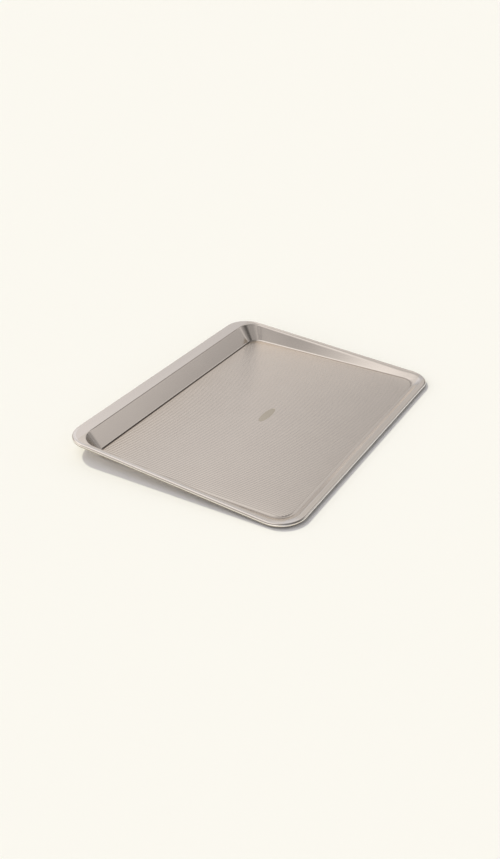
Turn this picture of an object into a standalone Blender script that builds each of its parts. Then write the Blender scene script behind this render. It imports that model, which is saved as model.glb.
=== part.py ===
"""A cookie sheet: one pressed steel tray whose rim is rolled round a stiffening wire.

A tall wall with a broad grip flange runs along one long side. The end walls come down from it to
a low lip along the other long side, over which the baking slides off.

X runs from the tall side to the low lip, Y along the sheet and Z up. The origin lies on the table,
under the middle of the outer outline. Sizes are in metres.
"""
import math

import bmesh
import bpy
from mathutils import Vector

# Outer outline, measured over the rolled rim
OUTLINE_LENGTH = 0.451
OUTLINE_WIDTH = 0.3484
OUTER_CORNER = 0.0365

# Pressed sheet
SHEET = 0.0008
FOOT_RADIUS = 0.0025
BEND_RADIUS = 0.0045
TIGHTEST_CORNER = 0.006

# Rim: its top is level with the flange, and it comes down from the tall side to the low lip
TALL_RIM_HEIGHT = 0.0242
LIP_ABOVE_TABLE = 0.0012
SLOPE_EASE = 0.012

# Flange, from the outer edge to the top of the wall
GRIP_FLANGE = 0.0218
RIM_FLANGE = 0.0082

# Walls, from their top edge in to the edge of the floor
TALL_WALL_RUN = 0.0174
LOW_WALL_RUN = 0.0094
END_WALL_RUN = 0.0103
LOW_FLOOR_CORNER = 0.024

# Wire inside the rolled rim
WIRE_DIAMETER = 0.0032
WIRE_CLEARANCE = 0.00035
WIRE_END_GAP = 0.001
CURL_OPENING = math.radians(75)

# Fineness of the round stretches
CORNER_STEPS = 8
BEND_STEPS = 3
CURL_STEPS = 12
LONG_SIDE_STEPS = 6
END_SIDE_STEPS = 5
WIRE_BEVEL_RESOLUTION = 3
SHARP_ANGLE = math.radians(40)

# Sizes that follow from the ones above
ROLL_RADIUS = WIRE_DIAMETER / 2 + WIRE_CLEARANCE + SHEET
LOW_RIM_HEIGHT = LIP_ABOVE_TABLE + 2 * ROLL_RADIUS
SLOPE_START = OUTER_CORNER - OUTLINE_WIDTH / 2
SLOPE_END = OUTLINE_WIDTH / 2 - OUTER_CORNER
CURL_ANGLE = math.tau - CURL_OPENING


def clear_scene():
    for thing in list(bpy.data.objects):
        bpy.data.objects.remove(thing, do_unlink=True)


def metal_material(name, colour, metallic, roughness):
    material = bpy.data.materials.new(name)
    material.use_nodes = True
    shader = material.node_tree.nodes["Principled BSDF"]
    shader.inputs["Base Color"].default_value = (*colour, 1.0)
    shader.inputs["Metallic"].default_value = metallic
    shader.inputs["Roughness"].default_value = roughness
    return material


def eased_ramp(distance):
    """Nothing before zero and the distance itself after it, with a round knee between."""
    if distance <= -SLOPE_EASE:
        return 0.0
    if distance >= SLOPE_EASE:
        return distance
    return (distance + SLOPE_EASE) ** 2 / (4 * SLOPE_EASE)


def rim_height(x):
    """Height of the rim's top: level along both long sides and sloping along the ends."""
    fall = (TALL_RIM_HEIGHT - LOW_RIM_HEIGHT) / (SLOPE_END - SLOPE_START)
    return TALL_RIM_HEIGHT - fall * (eased_ramp(x - SLOPE_START) - eased_ramp(x - SLOPE_END))


def side_fractions(steps, ease):
    """Places between the two ends of a straight side, closer together where its slope eases."""
    if ease == 0.0:
        return [step / steps for step in range(1, steps)]
    middle = [ease + (1 - 2 * ease) * step / steps for step in range(steps + 1)]
    return [ease / 2] + middle + [1 - ease / 2]


def outline(tall_inset, low_inset, end_inset, tall_corner, low_corner):
    """A rounded rectangle inside the outer outline, as points with the same count on every call.

    Each point comes with the direction that faces straight out of the outline there.
    """
    tall = tall_inset - OUTLINE_WIDTH / 2
    low = OUTLINE_WIDTH / 2 - low_inset
    end = OUTLINE_LENGTH / 2 - end_inset
    corners = [
        (Vector((low - low_corner, end - low_corner)), low_corner, 0.0),
        (Vector((tall + tall_corner, end - tall_corner)), tall_corner, 90.0),
        (Vector((tall + tall_corner, tall_corner - end)), tall_corner, 180.0),
        (Vector((low - low_corner, low_corner - end)), low_corner, 270.0),
    ]
    end_places = side_fractions(END_SIDE_STEPS, SLOPE_EASE / (SLOPE_END - SLOPE_START))
    long_places = side_fractions(LONG_SIDE_STEPS, 0.0)
    points = []
    for index, (centre, radius, start) in enumerate(corners):
        for step in range(CORNER_STEPS + 1):
            angle = math.radians(start + 90.0 * step / CORNER_STEPS)
            outward = Vector((math.cos(angle), math.sin(angle)))
            points.append((centre + radius * outward, outward))
        here = points[-1][0]
        next_centre, next_radius, next_start = corners[(index + 1) % 4]
        there = next_centre + next_radius * outward
        for place in (end_places, long_places)[index % 2]:
            points.append((here.lerp(there, place), outward))
    return points


def bend(corner, towards, onwards, radius):
    """Points along the arc that rounds off a corner of a profile, between its two directions."""
    half_turn = towards.angle(onwards) / 2
    reach = radius * math.tan(half_turn)
    centre = corner + (onwards - towards).normalized() * radius / math.cos(half_turn)
    first = (corner - towards * reach - centre).normalized()
    last = (corner + onwards * reach - centre).normalized()
    return [centre + radius * first.slerp(last, step / BEND_STEPS) for step in range(BEND_STEPS + 1)]


def section(foot, top, edge, outward):
    """The tray's closed section at one place on its outline.

    It starts at the floor, runs up the wall, over the flange and round the roll, and comes back
    along the underside.
    """
    out = Vector((*outward, 0.0))
    up = Vector((0.0, 0.0, 1.0))
    foot = Vector((*foot, SHEET))
    top = Vector((*top, rim_height(top.x)))
    roll_centre = Vector((*(edge - ROLL_RADIUS * outward), rim_height(edge.x) - ROLL_RADIUS))
    wall = (top - foot).normalized()
    flange = (roll_centre + ROLL_RADIUS * up - top).normalized()
    slant = math.atan2(top.z - foot.z, (top - foot).dot(out))
    under = out * SHEET * math.tan(slant / 2) - up * SHEET

    def curl(radius):
        angles = [CURL_ANGLE * step / CURL_STEPS for step in range(CURL_STEPS + 1)]
        return [roll_centre + radius * (math.sin(a) * out + math.cos(a) * up) for a in angles]

    upper = bend(foot, out, wall, FOOT_RADIUS) + bend(top, wall, flange, BEND_RADIUS)
    lower = bend(foot + under, out, wall, FOOT_RADIUS + SHEET)
    lower += bend(top + under, wall, flange, BEND_RADIUS - SHEET)
    return upper + curl(ROLL_RADIUS) + curl(ROLL_RADIUS - SHEET)[::-1] + lower[::-1]


def ring_edges(mesh, points):
    corners = [mesh.verts.new(point) for point in points]
    return [mesh.edges.new((corners[i - 1], corners[i])) for i in range(len(corners))]


def tray():
    """Lofts the section round the outline and closes the floor above and below."""
    top_corner = max(OUTER_CORNER - RIM_FLANGE, TIGHTEST_CORNER)
    floor_corner = max(top_corner - END_WALL_RUN, TIGHTEST_CORNER)
    edges = outline(0.0, 0.0, 0.0, OUTER_CORNER, OUTER_CORNER)
    tops = outline(GRIP_FLANGE, RIM_FLANGE, RIM_FLANGE, top_corner, top_corner)
    feet = outline(GRIP_FLANGE + TALL_WALL_RUN, RIM_FLANGE + LOW_WALL_RUN,
                   RIM_FLANGE + END_WALL_RUN, floor_corner, LOW_FLOOR_CORNER)
    sections = [section(foot, top, edge, outward)
                for (foot, _), (top, _), (edge, outward) in zip(feet, tops, edges)]

    shell = bmesh.new()
    rings = [ring_edges(shell, points) for points in zip(*sections)]
    for ring, next_ring in zip(rings, rings[1:]):
        bmesh.ops.bridge_loops(shell, edges=ring + next_ring)
    for ring in (rings[0], rings[-1]):
        bmesh.ops.contextual_create(shell, geom=ring)
    bmesh.ops.recalc_face_normals(shell, faces=shell.faces)

    mesh = bpy.data.meshes.new("tray")
    shell.to_mesh(mesh)
    shell.free()
    mesh.shade_smooth()
    mesh.set_sharp_from_angle(angle=SHARP_ANGLE)
    return bpy.data.objects.new("tray", mesh)


def wire_route():
    """The middle of the rolled rim all the way round, open at the middle of the back end."""
    edges = outline(0.0, 0.0, 0.0, OUTER_CORNER, OUTER_CORNER)
    centres = [edge - ROLL_RADIUS * outward for edge, outward in edges]
    back = OUTLINE_LENGTH / 2 - ROLL_RADIUS
    start = Vector((-WIRE_END_GAP / 2, back))
    finish = Vector((WIRE_END_GAP / 2, back))
    first = next(i for i, point in enumerate(centres) if point.x < -WIRE_END_GAP)
    last = next(i for i, point in enumerate(centres) if point.x <= WIRE_END_GAP)
    route = [start] + centres[first:] + centres[:last] + [finish]
    return [Vector((*point, rim_height(point.x) - ROLL_RADIUS)) for point in route]


def rim_wire():
    route = wire_route()
    curve = bpy.data.curves.new("rim_wire", "CURVE")
    curve.dimensions = "3D"
    curve.bevel_depth = WIRE_DIAMETER / 2
    curve.bevel_resolution = WIRE_BEVEL_RESOLUTION
    curve.use_fill_caps = True
    spline = curve.splines.new("POLY")
    spline.points.add(len(route) - 1)
    for point, place in zip(spline.points, route):
        point.co = (*place, 1.0)
    return bpy.data.objects.new("rim_wire", curve)


def main():
    clear_scene()
    pieces = [
        (tray(), metal_material("champagne_coating", (0.50, 0.46, 0.41), 0.6, 0.35)),
        (rim_wire(), metal_material("bare_steel_wire", (0.56, 0.57, 0.58), 1.0, 0.35)),
    ]
    for piece, material in pieces:
        piece.data.materials.append(material)
        bpy.context.scene.collection.objects.link(piece)


main()
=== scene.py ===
"""The looks of a cookie sheet: a pressed tray with a ribbed floor in a satin champagne coating.

The tray is made again here with finer bends than its solid has, in the same place and at the same
size. X runs from the tall side to the low lip, Y along the sheet and Z up. Sizes are in metres.
"""
import math

import bmesh
import bpy
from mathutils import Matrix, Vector


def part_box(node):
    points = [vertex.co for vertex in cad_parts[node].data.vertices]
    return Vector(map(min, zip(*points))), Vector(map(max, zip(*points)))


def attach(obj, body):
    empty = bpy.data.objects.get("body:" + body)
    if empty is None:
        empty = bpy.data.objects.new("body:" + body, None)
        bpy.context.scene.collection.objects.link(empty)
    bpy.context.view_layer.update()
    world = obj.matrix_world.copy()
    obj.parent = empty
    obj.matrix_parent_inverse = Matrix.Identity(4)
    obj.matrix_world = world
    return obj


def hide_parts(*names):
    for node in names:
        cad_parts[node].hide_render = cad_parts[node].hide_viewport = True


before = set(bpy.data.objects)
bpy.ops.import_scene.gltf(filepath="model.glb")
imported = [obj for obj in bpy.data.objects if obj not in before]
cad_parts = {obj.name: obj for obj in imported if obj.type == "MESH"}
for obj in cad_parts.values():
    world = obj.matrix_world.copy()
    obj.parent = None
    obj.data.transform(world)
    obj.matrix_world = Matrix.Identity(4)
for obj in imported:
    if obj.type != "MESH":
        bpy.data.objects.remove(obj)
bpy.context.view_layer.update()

MM = 0.001

# Outline over the rolled rim, from the solid that this tray stands for. Its top is a hair lower, so
# that rounding lifts no point out of the solid's box
_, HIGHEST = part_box("tray")
HALF_WIDTH = HIGHEST.x
HALF_LENGTH = HIGHEST.y
TALL_RIM_HEIGHT = HIGHEST.z - 0.001 * MM
OUTER_CORNER = 36.5 * MM

# Pressed sheet
SHEET = 0.8 * MM
FOOT_RADIUS = 3.0 * MM
BEND_RADIUS = 4.5 * MM
TALL_BEND_RADIUS = 2.4 * MM

# Rolled rim, which slopes down along the ends
ROLL_RADIUS = 2.75 * MM
LOW_RIM_HEIGHT = 6.7 * MM
SLOPE_EASE = 12 * MM
CURL_ANGLE = math.radians(285)

# Bead that the roll makes over its flange: how far round the roll it starts before the top
END_BEAD_ANGLE = math.radians(40)
SIDE_BEAD_ANGLE = math.radians(3)
BEAD_FOOT_RADIUS = 0.6 * MM

# Flange and walls, as they lie from the outer edge in to the floor
GRIP_FLANGE = 21.8 * MM
RIM_FLANGE = 8.2 * MM
TALL_WALL_RUN = 17.4 * MM
LOW_WALL_RUN = 9.4 * MM
END_WALL_RUN = 10.3 * MM
TOP_CORNER = OUTER_CORNER - RIM_FLANGE
TALL_FLOOR_CORNER = TOP_CORNER - END_WALL_RUN
LOW_FLOOR_CORNER = 24 * MM

# Raised floor panel inside a narrow channel, and its ribs from the tall side to the low lip
PANEL_MARGIN = 2.3 * MM
TALL_PANEL_MARGIN = 2.7 * MM
PANEL_RISE = 0.45 * MM
PANEL_STEP = 0.6 * MM
RIB_PITCH = 3.39 * MM
RIB_HEIGHT = 0.32 * MM
RIB_END = 1.0 * MM

# Bare oval without ribs at the middle of the floor
OVAL_LENGTH = 42 * MM
OVAL_WIDTH = 12.4 * MM
THINNEST_OVAL = 0.2 * MM

# Fineness of the round stretches and of the panel, and how far its lines are kept apart
CORNER_STEPS = 28
BEND_STEPS = 8
CURL_STEPS = 34
LONG_SIDE_STEPS = 4
END_SIDE_STEPS = 8
SHARP_ANGLE = math.radians(50)
ROWS_PER_RIB = 8
EASE_SHARES = (0.25, 0.5, 0.75)
RIB_END_SHARES = (0.33, 0.67, 1.0)
LINE_SPREAD = 0.1

# Coating: its ground in soft clouds, and the fine grain in it
GROUND = (0.704, 0.628, 0.535)
CLOUDED_GROUND = (0.724, 0.648, 0.552)
GRAIN_COLOUR = (0.747, 0.673, 0.573)
GRAIN = {"Scale": 1900.0, "Detail": 2.0, "Roughness": 0.6}
CLOUDS = {"Scale": 22.0, "Detail": 3.0, "Roughness": 0.5}
GRAIN_BUMP = 0.10
GRAIN_DEPTH = 0.05 * MM
COAT_METALLIC = 0.92
COAT_ROUGHNESS = 0.13
GRAIN_ROUGHNESS = 0.08
CLOUD_ROUGHNESS = 0.04

# Painted shade, highlights and sheen over the coating's ground, and a tone on the bare oval: the share of
# each where it is strongest, and its colour
PAINTED_LIGHT_AND_TONES = {
    "panel": (0.11, (0.0, 0.0, 0.0)),
    "oval": (0.25, (0.52, 0.44, 0.22)),
    "channel": (0.32, (0.10, 0.08, 0.07)),
    "low_wall_sheen": (0.60, (0.76, 0.72, 0.67)),
    "grip_flange_sheen": (0.50, (0.816, 0.749, 0.675)),
    "back_end_shade": (0.08, (0.0, 0.0, 0.0)),
    "crease": (0.60, (0.13, 0.09, 0.05)),
    "low_lip_highlight": (0.85, (0.90, 0.89, 0.86)),
    "front_shoulder_shade": (0.36, (0.10, 0.08, 0.06)),
    "front_crest_highlight": (0.50, (0.90, 0.86, 0.80)),
    "front_lip_highlight": (0.35, (0.90, 0.89, 0.86)),
    "underside": (0.62, (0.08, 0.07, 0.06)),
}

# How much of the channel's painted shade stays beside the low wall, and of the underside's painted shade
# away from the roll
LOW_CHANNEL = 0.10 / 0.32
FLAT_UNDERSIDE = 0.12 / 0.62

# Painted shade: a dark line along the foot of the tall wall, and the fine one at that wall's upper crease
FOOT_LINE = 2.0 * MM
FOOT_LINE_AT = 1.25 * MM
FOOT_SHADE_COLOUR = (0.045, 0.032, 0.024)
CREASE_LINE = 0.6 * MM
CREASE_AT = 0.3 * MM

# Way from the tall side, in x, on which the back end's painted shade comes in
BACK_END_START = -120 * MM
BACK_END_FULL = -20 * MM

# Belts of painted highlight and shade round the roll, by how far the surface faces up, from -1 to 1:
# where a belt starts, is full, begins to fade and ends
LOW_LIP_BELT = (-0.05, 0.15, 0.55, 0.75)
FRONT_LIP_BELT = (-0.05, 0.15, 0.40, 0.55)
FRONT_SHOULDER_BELT = (0.44, 0.58, 0.76, 0.90)
FRONT_CREST_FROM = (0.90, 0.97)
UNDERSIDE_FROM = (0.10, -0.30)

# Drawn steel of the wire
DARK_STEEL = (0.42, 0.42, 0.43)
LIGHT_STEEL = (0.58, 0.58, 0.59)
STEEL_MARKS = {"Scale": 900.0, "Detail": 3.0, "Roughness": 0.6}
STEEL_BUMP = 0.2
STEEL_DEPTH = 0.1 * MM
STEEL_ROUGHNESS = 0.28
MARK_ROUGHNESS = 0.2

# Table: how far it reaches, and how far it lies below the sheet
TABLE_REACH = 30.0
TABLE_DROP = 0.2 * MM
TABLE_COLOUR = (0.928, 0.908, 0.855)

# Camera: the point it looks at, and where it stands from there
LOOKS_AT = Vector((9.64, -45.14, 0.0)) * MM
CAMERA_AZIMUTH = math.radians(30.83)
CAMERA_ELEVATION = math.radians(31.29)
CAMERA_DISTANCE = 1227.8 * MM
CAMERA_LENS_MM = 36.98
SENSOR_MM = 36.0
CAMERA_SEES_TO = 100.0

# Key light, which casts the shadow, and the way to it
KEY_STRENGTH = 1.64
KEY_COLOUR = (1.0, 1.0, 0.83)
KEY_WIDTH = math.radians(1.2)
KEY_FROM = Vector((-0.99, 0.32, 1.0))

# Soft studio light by direction: azimuth and elevation, inner and outer radius in degrees, and how
# much it adds to the even light or takes from it
ROOM_COLOUR = (1.005, 1.0, 1.06)
BASE_LIGHT = 0.707
LIGHT_LOBES = [
    (-150, 8, 3, 27, 0.51),
    (-90, 8, 3, 27, 0.82),
    (-60, 8, 3, 27, 0.57),
    (30, 8, 3, 27, -0.41),
    (90, 8, 3, 27, -0.46),
    (120, 8, 3, 27, -0.22),
    (-165, 33, 3, 27, 0.76),
    (-135, 33, 3, 27, 0.26),
    (-105, 33, 3, 27, -0.40),
    (15, 33, 3, 27, -0.43),
    (45, 33, 3, 27, 0.07),
    (75, 33, 3, 27, -0.35),
    (105, 33, 3, 27, 0.20),
    (135, 33, 3, 27, 0.14),
    (-180, 62, 3, 34, 0.37),
    (-120, 62, 3, 34, 0.25),
    (60, 62, 3, 34, -0.42),
    (0, 89, 3, 34, -0.09),
    (121, 31, 2, 12, -0.15),
    (111, 33, 2, 12, -0.26),
    (56, 18, 2, 13, -0.24),
    (95, 43, 2, 13, 0.15),
    (60, 32, 2, 13, 0.50),
    (-30, 55, 8, 45, -0.32),
]


class Wire:
    """The output of a shader node, on which + - * / and ** add Math nodes."""

    def __init__(self, tree, socket):
        self.tree = tree
        self.socket = socket

    def math(self, operation, first, second):
        return self.tree.node("Math", {"operation": operation}, {0: first, 1: second})

    def __add__(self, other):
        return self.math("ADD", self, other)

    def __sub__(self, other):
        return self.math("SUBTRACT", self, other)

    def __rsub__(self, other):
        return self.math("SUBTRACT", other, self)

    def __mul__(self, other):
        return self.math("MULTIPLY", self, other)

    def __truediv__(self, other):
        return self.math("DIVIDE", self, other)

    def __rtruediv__(self, other):
        return self.math("DIVIDE", other, self)

    def __pow__(self, other):
        return self.math("POWER", self, other)

    def __rpow__(self, other):
        return self.math("POWER", other, self)

    __radd__ = __add__
    __rmul__ = __mul__


class Tree:
    """The node tree of one material, or of the world."""

    def __init__(self, owner):
        owner.use_nodes = True
        self.nodes = owner.node_tree.nodes
        self.links = owner.node_tree.links
        self.nodes.clear()

    def node(self, kind, settings=None, values=None, output=0):
        """Adds a node with its settings, then sets or links its sockets, and gives an output."""
        made = self.nodes.new("ShaderNode" + kind)
        for name, value in (settings or {}).items():
            setattr(made, name, value)
        for name, value in (values or {}).items():
            if isinstance(value, Wire):
                self.links.new(value.socket, made.inputs[name])
            else:
                made.inputs[name].default_value = value
        return Wire(self, made.outputs[output] if made.outputs else None)

    def blend(self, share, first, second):
        return self.node("Mix", {"data_type": "RGBA"}, {"Factor": share, "A": first, "B": second},
                         output="Result")

    def ramp(self, value, start, end, low=0.0, high=1.0):
        """Goes smoothly from low to high while value goes from start to end."""
        return self.node("MapRange", {"interpolation_type": "SMOOTHSTEP"}, {
            "Value": value, "From Min": start, "From Max": end, "To Min": low, "To Max": high})

    def band(self, value, start, full, fading, end):
        """Comes in smoothly from start to full, and goes out smoothly from fading to end."""
        return self.ramp(value, start, full) * self.ramp(value, end, fading)


def colour(red, green, blue):
    return (red, green, blue, 1.0)


def add_piece(name, data):
    piece = bpy.data.objects.new(name, data)
    bpy.context.scene.collection.objects.link(piece)
    return piece


def eased(share):
    """Goes from nothing to one with level ends."""
    share = min(1.0, max(0.0, share))
    return (1 - math.cos(math.pi * share)) / 2


def eased_ramp(distance):
    """Nothing before zero and the distance itself after it, with a round knee between."""
    if distance <= -SLOPE_EASE:
        return 0.0
    if distance >= SLOPE_EASE:
        return distance
    return (distance + SLOPE_EASE) ** 2 / (4 * SLOPE_EASE)


def rim_height(x):
    """Height of the rim's top: level along both long sides and sloping along the ends."""
    start = OUTER_CORNER - HALF_WIDTH
    fall = (TALL_RIM_HEIGHT - LOW_RIM_HEIGHT) / (-2 * start)
    return TALL_RIM_HEIGHT - fall * (eased_ramp(x - start) - eased_ramp(x + start))


def side_places(steps, ease):
    """Shares of the way along a straight side, closer together where its slope eases."""
    if not ease:
        return [step / steps for step in range(1, steps)]
    first = [ease * share for share in EASE_SHARES]
    middle = [ease + (1 - 2 * ease) * step / steps for step in range(steps + 1)]
    return first + middle + [1 - share for share in reversed(first)]


def outline(tall_inset, low_inset, end_inset, tall_corner, low_corner):
    """A rounded rectangle inside the outer outline: its points and the way out of it at each."""
    tall = tall_inset - HALF_WIDTH
    low = HALF_WIDTH - low_inset
    end = HALF_LENGTH - end_inset
    corners = [
        (Vector((low - low_corner, end - low_corner)), low_corner, 0.0),
        (Vector((tall + tall_corner, end - tall_corner)), tall_corner, 90.0),
        (Vector((tall + tall_corner, tall_corner - end)), tall_corner, 180.0),
        (Vector((low - low_corner, low_corner - end)), low_corner, 270.0),
    ]
    straight = 2 * (HALF_WIDTH - OUTER_CORNER)
    places = (side_places(END_SIDE_STEPS, 2 * SLOPE_EASE / straight), side_places(LONG_SIDE_STEPS, 0.0))
    points = []
    for index, (centre, radius, start) in enumerate(corners):
        for step in range(CORNER_STEPS + 1):
            angle = math.radians(start + 90.0 * step / CORNER_STEPS)
            outward = Vector((math.cos(angle), math.sin(angle)))
            points.append((centre + radius * outward, outward))
        here = points[-1][0]
        next_centre, next_radius, _ = corners[(index + 1) % 4]
        there = next_centre + next_radius * outward
        for place in places[index % 2]:
            points.append((here.lerp(there, place), outward))
    return points


def bend(corner, towards, onwards, radius):
    """Points along the arc that rounds off a corner of a profile, between its two directions."""
    half_turn = towards.angle(onwards) / 2
    reach = radius * math.tan(half_turn)
    centre = corner + (onwards - towards).normalized() * radius / math.cos(half_turn)
    first = (corner - towards * reach - centre).normalized()
    last = (corner + onwards * reach - centre).normalized()
    return [centre + radius * first.slerp(last, step / BEND_STEPS) for step in range(BEND_STEPS + 1)]


def section(foot, top, edge, outward):
    """The sheet's section at one place on the outline, from the floor round the roll and back below.

    The wall keeps its plane. The flange starts lower on it by the bead's height, which is too small
    to see along the long sides.
    """
    out = Vector((*outward, 0.0))
    up = Vector((0.0, 0.0, 1.0))
    foot = Vector((*foot, SHEET))
    top = Vector((*top, rim_height(top.x)))
    roll_centre = Vector((*(edge - ROLL_RADIUS * outward), rim_height(edge.x) - ROLL_RADIUS))
    wall = (top - foot).normalized()
    slant = math.atan2(top.z - foot.z, (top - foot).dot(out))
    under = out * SHEET * math.tan(slant / 2) - up * SHEET

    lean = SIDE_BEAD_ANGLE + (END_BEAD_ANGLE - SIDE_BEAD_ANGLE) * eased(1 - abs(outward.x))
    top -= wall * ROLL_RADIUS * (1 - math.cos(lean)) / wall.z
    bead_foot = roll_centre + ROLL_RADIUS * (math.cos(lean) * up - math.sin(lean) * out)
    bead = math.cos(lean) * out + math.sin(lean) * up
    flange = (bead_foot - top).normalized()

    def curl(radius):
        angles = [(CURL_ANGLE + lean) * step / CURL_STEPS - lean for step in range(CURL_STEPS + 1)]
        return [roll_centre + radius * (math.sin(a) * out + math.cos(a) * up) for a in angles]

    radius = BEND_RADIUS + (TALL_BEND_RADIUS - BEND_RADIUS) * eased(-outward.x)
    upper = bend(foot, out, wall, FOOT_RADIUS) + bend(top, wall, flange, radius)
    upper += bend(bead_foot, flange, bead, BEAD_FOOT_RADIUS) + curl(ROLL_RADIUS)[1:]
    lower = bend(foot + under, out, wall, FOOT_RADIUS + SHEET)
    lower += bend(top + under, wall, flange, radius - SHEET)
    return upper + curl(ROLL_RADIUS - SHEET)[::-1] + lower[::-1]


def panel_reach():
    """The panel's low x, high x and end y, and its corner radii on the tall and the low side."""
    tall = GRIP_FLANGE + TALL_WALL_RUN + TALL_PANEL_MARGIN - HALF_WIDTH
    low = HALF_WIDTH - RIM_FLANGE - LOW_WALL_RUN - PANEL_MARGIN
    end = HALF_LENGTH - RIM_FLANGE - END_WALL_RUN - PANEL_MARGIN
    return tall, low, end, TALL_FLOOR_CORNER - PANEL_MARGIN, LOW_FLOOR_CORNER - PANEL_MARGIN


def side_place(y, inset, side, way, end, radius):
    """The x of the line that lies some way inside the panel's border, at one place along the sheet.

    Each line is set a little outwards, the outer ones more, so that no two meet in the corners.
    """
    past = max(0.0, abs(y) - (end - radius))
    across = math.sqrt(max(0.0, (radius - inset) ** 2 - past ** 2))
    spread = LINE_SPREAD * (RIB_END + PANEL_STEP - inset)
    return side + way * (radius - across - spread)


def row_height(y, inset):
    """Height over the channel at one place along the sheet and some way in from the border."""
    _, _, end, _, _ = panel_reach()
    depth = min(inset, end - abs(y))
    rib = 0.5 - 0.5 * math.cos(math.tau * y / RIB_PITCH)
    return PANEL_RISE * eased(depth / PANEL_STEP) + RIB_HEIGHT * rib * eased((depth - PANEL_STEP) / RIB_END)


def panel_row(y):
    """Points of one row across the panel, at their heights over the channel."""
    tall, low, end, tall_corner, low_corner = panel_reach()
    insets = [PANEL_STEP * share for share in (0.0, *EASE_SHARES, 1.0)]
    insets += [PANEL_STEP + RIB_END * share for share in RIB_END_SHARES]
    rises = [row_height(y, inset) for inset in insets]
    tall_side = [side_place(y, inset, tall, 1, end, tall_corner) for inset in insets]
    low_side = [side_place(y, inset, low, -1, end, low_corner) for inset in insets]

    # Each rib comes down to the bare oval. Rows past the oval keep their height through the middle
    oval_share = 1 - (2 * y / OVAL_LENGTH) ** 2
    half = max(THINNEST_OVAL, OVAL_WIDTH / 2 * math.sqrt(max(0.0, oval_share)))
    level = row_height(y, PANEL_STEP + RIB_END)
    bare = PANEL_RISE if oval_share > 0.0 else level
    to_oval = [(-half - RIB_END * step, level) for step in (3, 2, 1)]
    to_oval += [(-half, bare), (-max(half / 2, half - RIB_END / 2), bare)]

    middle = (tall + low) / 2
    row = list(zip(tall_side, rises))
    row += [(middle + way, rise) for way, rise in to_oval]
    row += [(middle - way, rise) for way, rise in reversed(to_oval)]
    row += reversed(list(zip(low_side, rises)))
    return [Vector((x, y, rise)) for x, rise in row]


def panel_rows():
    """Rows of the panel from its front end to its back end, closer together on the two end steps."""
    _, _, end, _, _ = panel_reach()
    edge = [end - PANEL_STEP * share for share in (0.0, *EASE_SHARES)]
    spacing = RIB_PITCH / ROWS_PER_RIB
    count = 2 * math.floor((end - PANEL_STEP) / spacing)
    inner = [(step - count / 2) * spacing for step in range(count + 1)]
    return [panel_row(y) for y in [-y for y in edge] + inner + edge[::-1]]


def add_field(shell, rows, height, ring):
    """Adds one face of the ribbed floor at a height, and the flat margin out to the wall's ring."""
    grid = [[shell.verts.new(point + Vector((0.0, 0.0, height))) for point in row] for row in rows]
    for row, next_row in zip(grid, grid[1:]):
        for i in range(len(row) - 1):
            shell.faces.new((row[i], row[i + 1], next_row[i + 1], next_row[i]))
    low_side = [row[-1] for row in grid[1:-1]]
    tall_side = [row[0] for row in grid[-2:0:-1]]
    border = grid[0] + low_side + grid[-1][::-1] + tall_side
    inner = [shell.edges.get((border[i - 1], border[i])) for i in range(len(border))]
    outer = [shell.edges.get((ring[i - 1], ring[i])) for i in range(len(ring))]
    bmesh.ops.triangle_fill(shell, edges=inner + outer, use_beauty=True, normal=(0.0, 0.0, 1.0))


def tray():
    """Lofts the sheet's section round the outline and closes it with the ribbed floor."""
    edges = outline(0.0, 0.0, 0.0, OUTER_CORNER, OUTER_CORNER)
    tops = outline(GRIP_FLANGE, RIM_FLANGE, RIM_FLANGE, TOP_CORNER, TOP_CORNER)
    feet = outline(GRIP_FLANGE + TALL_WALL_RUN, RIM_FLANGE + LOW_WALL_RUN, RIM_FLANGE + END_WALL_RUN,
                   TALL_FLOOR_CORNER, LOW_FLOOR_CORNER)
    sections = [section(foot, top, edge, outward)
                for (foot, _), (top, _), (edge, outward) in zip(feet, tops, edges)]

    shell = bmesh.new()
    rings = [[shell.verts.new(point) for point in points] for points in zip(*sections)]
    for ring, next_ring in zip(rings, rings[1:]):
        for i in range(len(ring)):
            shell.faces.new((ring[i - 1], ring[i], next_ring[i], next_ring[i - 1]))
    rows = panel_rows()
    add_field(shell, rows, SHEET, rings[0])
    add_field(shell, rows, 0.0, rings[-1])
    bmesh.ops.recalc_face_normals(shell, faces=shell.faces)

    mesh = bpy.data.meshes.new("coated_tray")
    shell.to_mesh(mesh)
    shell.free()
    mesh.shade_smooth()
    mesh.set_sharp_from_angle(angle=SHARP_ANGLE)
    return add_piece("coated_tray", mesh)


def toned(tree, coat, name, area):
    """Lays one of the painted shades, highlights or tones over the coat, at its full share where the area
    is one.
    """
    share, tone = PAINTED_LIGHT_AND_TONES[name]
    return tree.blend(area * share, coat, colour(*tone))


def with_floor_shade_and_tone(tree, coat, x, y, z):
    """Paints shade over the raised panel and the channel round it, and tones its bare oval."""
    tall, low, end, _, _ = panel_reach()
    # Painted shade over the raised panel
    panel = tree.band(z, SHEET + 0.3 * PANEL_RISE, SHEET + PANEL_RISE,
                      SHEET + 2 * PANEL_RISE, SHEET + 2.5 * PANEL_RISE)
    panel = panel * tree.band(x, tall, tall + PANEL_STEP, low - PANEL_STEP, low)
    panel = panel * tree.band(y, -end, PANEL_STEP - end, end - PANEL_STEP, end)
    coat = toned(tree, coat, "panel", panel)

    across = (x - (tall + low) / 2) / (OVAL_WIDTH / 2)
    along = y / (OVAL_LENGTH / 2)
    oval = tree.ramp(across ** 2 + along ** 2, 1.15, 0.95)
    coat = toned(tree, coat, "oval", oval * panel)

    # Painted shade in the channel round the panel, weaker beside the low wall
    channel = tree.band(z, 0.5 * SHEET, 0.8 * SHEET, SHEET + 0.1 * PANEL_RISE, SHEET + 0.7 * PANEL_RISE)
    channel = channel * tree.ramp(x, low - 4 * MM, low, 1.0, LOW_CHANNEL)
    return toned(tree, coat, "channel", channel)


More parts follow.
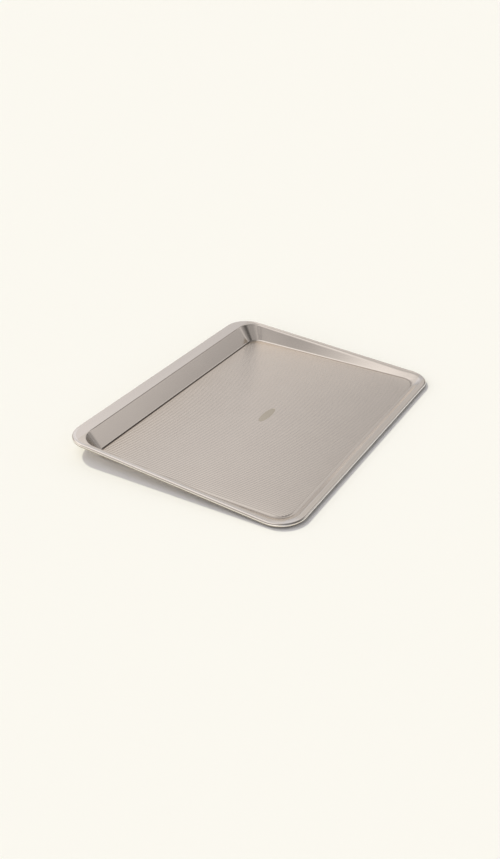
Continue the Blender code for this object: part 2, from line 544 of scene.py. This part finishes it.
def with_painted_wall_light(tree, coat, x, y, z):
    """Paints a lighter sheen on the low wall and the grip flange, shade on the back end and a shade line at
    the tall wall's upper crease.
    """
    # Painted sheen: the low wall is made lighter
    wall_foot = HALF_WIDTH - RIM_FLANGE - LOW_WALL_RUN
    wall_top = HALF_WIDTH - RIM_FLANGE
    low_wall_sheen = tree.band(x, wall_foot - 1 * MM, wall_foot + 2 * MM, wall_top - 2 * MM, wall_top + 1 * MM)
    coat = toned(tree, coat, "low_wall_sheen", low_wall_sheen)

    # Painted sheen: the top of the grip flange is made lighter
    crease_x = GRIP_FLANGE - HALF_WIDTH + CREASE_AT
    on_top = tree.ramp(z, TALL_RIM_HEIGHT - 3 * MM, TALL_RIM_HEIGHT - 1 * MM)
    coat = toned(tree, coat, "grip_flange_sheen", tree.ramp(x, crease_x, crease_x - 1 * MM) * on_top)

    # Painted shade over the back end, growing towards the low lip
    back_foot = HALF_LENGTH - RIM_FLANGE - END_WALL_RUN
    at_back = tree.ramp(y, back_foot, back_foot + 2 * MM)
    coat = toned(tree, coat, "back_end_shade", at_back * tree.ramp(x, BACK_END_START, BACK_END_FULL))

    # Painted shade: a fine dark line at the tall wall's upper crease
    straight = HALF_LENGTH - OUTER_CORNER
    crease = tree.band(x, crease_x - CREASE_LINE, crease_x, crease_x, crease_x + CREASE_LINE)
    crease = crease * tree.ramp(z, TALL_RIM_HEIGHT - 3 * MM, TALL_RIM_HEIGHT - 2 * MM)
    crease = crease * tree.band(y, -straight, 10 * MM - straight, straight - 10 * MM, straight)
    return toned(tree, coat, "crease", crease)


def past(tree, coordinate, start):
    """How far a coordinate lies past a start, on either side of the middle, and else nothing."""
    away = tree.node("Math", {"operation": "ABSOLUTE"}, {0: coordinate})
    return tree.node("Math", {"operation": "MAXIMUM"}, {0: away - start, 1: 0.0})


def with_painted_roll_light(tree, coat, x, y):
    """Paints a highlight on the low lip, highlights and a shade belt on the front end's roll, and shade on
    the underside, most of all under the roll.
    """
    facing = tree.node("SeparateXYZ", {}, {0: tree.node("NewGeometry", output="Normal")}, output="Z")
    past_side = past(tree, x, HALF_WIDTH - OUTER_CORNER)
    past_end = past(tree, y, HALF_LENGTH - OUTER_CORNER)
    reach = (past_side ** 2 + past_end ** 2) ** 0.5
    roll = tree.ramp(reach, OUTER_CORNER - 2.1 * ROLL_RADIUS, OUTER_CORNER - 1.9 * ROLL_RADIUS)

    # Painted highlight along the top of the low lip's roll
    low_lip_highlight = tree.ramp(x, HALF_WIDTH - ROLL_RADIUS, HALF_WIDTH - 0.5 * ROLL_RADIUS)
    coat = toned(tree, coat, "low_lip_highlight", low_lip_highlight * tree.band(facing, *LOW_LIP_BELT))

    front = roll * tree.ramp(y, OUTER_CORNER - HALF_LENGTH, OUTER_CORNER / 2 - HALF_LENGTH)
    # Painted shade: a dark belt on the front roll's shoulder
    coat = toned(tree, coat, "front_shoulder_shade", front * tree.band(facing, *FRONT_SHOULDER_BELT))
    # Painted highlight on the front roll's crest
    coat = toned(tree, coat, "front_crest_highlight", front * tree.ramp(facing, *FRONT_CREST_FROM))
    # Painted reflection: a second light line lower on the front roll
    coat = toned(tree, coat, "front_lip_highlight", front * tree.band(facing, *FRONT_LIP_BELT))

    # Painted shade on the surfaces that face down, strongest under the roll
    underside = tree.ramp(facing, *UNDERSIDE_FROM) * (roll * (1 - FLAT_UNDERSIDE) + FLAT_UNDERSIDE)
    return toned(tree, coat, "underside", underside)


def with_painted_foot_shade(tree, coat, x, y, z):
    """Paints a dark shade line along the foot of the tall wall."""
    tall, _, end, _, _ = panel_reach()
    line = tall - TALL_PANEL_MARGIN + FOOT_LINE_AT
    across = tree.band(x, line - FOOT_LINE * 0.6, line - FOOT_LINE * 0.4,
                       line + FOOT_LINE * 0.4, line + FOOT_LINE * 0.6)
    along = tree.band(y, -end, TALL_FLOOR_CORNER - end, end - TALL_FLOOR_CORNER, end)
    low_down = tree.ramp(z, SHEET + 2 * PANEL_RISE, SHEET + PANEL_RISE)
    return tree.blend(across * along * low_down, coat, colour(*FOOT_SHADE_COLOUR))


def satin_champagne():
    """A satin non-stick coating: a warm metallic ground with a fine grain, painted shade and highlights
    over it, and a tone on its bare oval.
    """
    material = bpy.data.materials.new("satin_champagne")
    tree = Tree(material)
    place = tree.node("TexCoord", output="Object")
    grain = tree.node("TexNoise", {}, {"Vector": place, **GRAIN})
    cloud = tree.node("TexNoise", {}, {"Vector": place, **CLOUDS})
    ground = tree.blend(tree.ramp(cloud, 0.35, 0.65), colour(*GROUND), colour(*CLOUDED_GROUND))
    coat = tree.blend(tree.ramp(grain, 0.30, 0.70), ground, colour(*GRAIN_COLOUR))
    x, y, z = (tree.node("SeparateXYZ", {}, {0: place}, output=axis) for axis in "XYZ")
    coat = with_floor_shade_and_tone(tree, coat, x, y, z)
    coat = with_painted_wall_light(tree, coat, x, y, z)
    coat = with_painted_roll_light(tree, coat, x, y)
    coat = with_painted_foot_shade(tree, coat, x, y, z)
    roughness = COAT_ROUGHNESS + (grain - 0.5) * GRAIN_ROUGHNESS + (cloud - 0.5) * CLOUD_ROUGHNESS
    relief = tree.node("Bump", {}, {"Height": grain, "Strength": GRAIN_BUMP, "Distance": GRAIN_DEPTH})
    shader = tree.node("BsdfPrincipled", {}, {
        "Base Color": coat, "Metallic": COAT_METALLIC, "Roughness": roughness, "Normal": relief})
    tree.node("OutputMaterial", {}, {"Surface": shader})
    return material


def bare_steel():
    """Drawn steel wire with fine marks."""
    material = bpy.data.materials.new("drawn_steel")
    tree = Tree(material)
    place = tree.node("TexCoord", output="Object")
    marks = tree.node("TexNoise", {}, {"Vector": place, **STEEL_MARKS})
    steel = tree.blend(marks, colour(*DARK_STEEL), colour(*LIGHT_STEEL))
    roughness = STEEL_ROUGHNESS + marks * MARK_ROUGHNESS
    relief = tree.node("Bump", {}, {"Height": marks, "Strength": STEEL_BUMP, "Distance": STEEL_DEPTH})
    shader = tree.node("BsdfPrincipled", {}, {
        "Base Color": steel, "Metallic": 1.0, "Roughness": roughness, "Normal": relief})
    tree.node("OutputMaterial", {}, {"Surface": shader})
    return material


def table():
    """A plain pale surface under the sheet."""
    surface = bmesh.new()
    bmesh.ops.create_grid(surface, x_segments=1, y_segments=1, size=TABLE_REACH)
    mesh = bpy.data.meshes.new("table")
    surface.to_mesh(mesh)
    surface.free()
    piece = add_piece("table", mesh)
    piece.location.z = -TABLE_DROP
    material = bpy.data.materials.new("pale_table")
    tree = Tree(material)
    shader = tree.node("BsdfDiffuse", {}, {"Color": colour(*TABLE_COLOUR)})
    tree.node("OutputMaterial", {}, {"Surface": shader})
    mesh.materials.append(material)


def studio():
    """Soft studio light: an even pale room with lighter and darker soft areas, and a key light."""
    world = bpy.data.worlds.new("studio")
    bpy.context.scene.world = world
    tree = Tree(world)
    way = tree.node("TexCoord", output="Generated")

    strength = BASE_LIGHT
    for azimuth, elevation, inner, outer, amount in LIGHT_LOBES:
        turn = math.radians(azimuth)
        rise = math.radians(elevation)
        axis = Vector((math.cos(turn) * math.cos(rise), math.sin(turn) * math.cos(rise), math.sin(rise)))
        nearness = tree.node("VectorMath", {"operation": "DOT_PRODUCT"}, {0: way, 1: axis}, output="Value")
        edge = math.cos(math.radians(outer))
        middle = math.cos(math.radians(inner))
        strength = tree.ramp(nearness, edge, middle, 0.0, amount) + strength
    light = tree.node("Background", {}, {"Color": colour(*ROOM_COLOUR), "Strength": strength})
    tree.node("OutputWorld", {}, {"Surface": light})

    lamp = bpy.data.lights.new("key", "SUN")
    lamp.energy = KEY_STRENGTH
    lamp.angle = KEY_WIDTH
    lamp.color = KEY_COLOUR
    key = add_piece("key", lamp)
    key.visible_glossy = False
    key.rotation_euler = KEY_FROM.to_track_quat("Z", "Y").to_euler()


def camera():
    """The camera, where it sees the sheet as the photo does."""
    ahead = Vector((-math.sin(CAMERA_AZIMUTH) * math.cos(CAMERA_ELEVATION),
                    math.cos(CAMERA_AZIMUTH) * math.cos(CAMERA_ELEVATION),
                    -math.sin(CAMERA_ELEVATION)))
    data = bpy.data.cameras.new("camera")
    data.sensor_fit = "VERTICAL"
    data.sensor_height = SENSOR_MM
    data.lens = CAMERA_LENS_MM
    data.clip_end = CAMERA_SEES_TO
    piece = add_piece("camera", data)
    piece.location = LOOKS_AT - ahead * CAMERA_DISTANCE
    piece.rotation_euler = ahead.to_track_quat("-Z", "Y").to_euler()
    bpy.context.scene.camera = piece


camera()
studio()
table()

sheet_piece = tray()
sheet_piece.data.materials.append(satin_champagne())
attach(sheet_piece, "root")
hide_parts("tray")

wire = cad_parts["rim_wire"]
wire.data.materials.clear()
wire.data.materials.append(bare_steel())

bpy.context.scene.view_settings.view_transform = "Standard"
